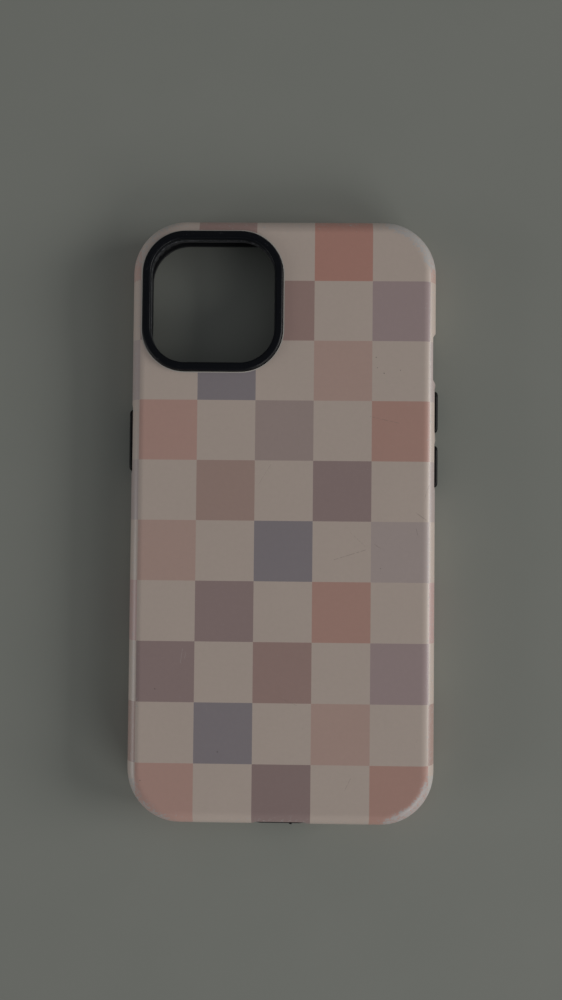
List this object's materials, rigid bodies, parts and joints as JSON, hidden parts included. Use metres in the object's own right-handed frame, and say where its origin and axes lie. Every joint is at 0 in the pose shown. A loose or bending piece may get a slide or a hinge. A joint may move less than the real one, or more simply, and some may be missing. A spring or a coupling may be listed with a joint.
{
  "type": "phone case",
  "caption": "Two-layer phone case: a printed hard shell over a soft liner with a raised camera bezel, press-in side buttons and a charging port opening.",
  "frame": {"origin": "middle of the footprint, on the surface that the front lip rests on", "axes": "+Z out of the case's back, +Y along the case towards the camera end, +X towards the volume buttons"},
  "size_m": [0.0792, 0.1526, 0.0124],
  "materials": {
    "shell_print": "glossy polycarbonate with a pastel checked print under the gloss",
    "liner_black": "fine matte soft plastic, black with a trace of navy",
    "bezel_black": "smooth satin soft plastic, black with a trace of navy",
    "button_black": "smooth satin soft plastic, black"
  },
  "bodies": {
    "liner": {"inner_liner": "liner_black", "front_lip": "liner_black", "camera_bezel": "bezel_black", "port_surround": "liner_black", "volume_up_surround": "liner_black", "volume_down_surround": "liner_black", "side_button_surround": "liner_black", "corner_ribs": "liner_black", "back_ribs": "liner_black", "snap_beads": "liner_black"},
    "shell": {"outer_shell": "shell_print"},
    "volume_up": {"volume_up_button": "button_black", "volume_up_nub": "button_black"},
    "volume_down": {"volume_down_button": "button_black", "volume_down_nub": "button_black"},
    "side_key": {"side_button": "button_black", "side_button_nub": "button_black"}
  },
  "joints": [
    {"name": "shell_lift", "type": "slide", "parent": "liner", "child": "shell", "axis": [0, 0, 1], "range_m": [0, 0.02], "deforming": ["snap_beads"]},
    {"name": "volume_up_press", "type": "slide", "parent": "liner", "child": "volume_up", "axis": [-1, 0, 0], "range_m": [0, 0.0005], "stiffness_N_per_m": 2500},
    {"name": "volume_down_press", "type": "slide", "parent": "liner", "child": "volume_down", "axis": [-1, 0, 0], "range_m": [0, 0.0005], "stiffness_N_per_m": 2500},
    {"name": "side_button_press", "type": "slide", "parent": "liner", "child": "side_key", "axis": [1, 0, 0], "range_m": [0, 0.0005], "stiffness_N_per_m": 2500}
  ]
}
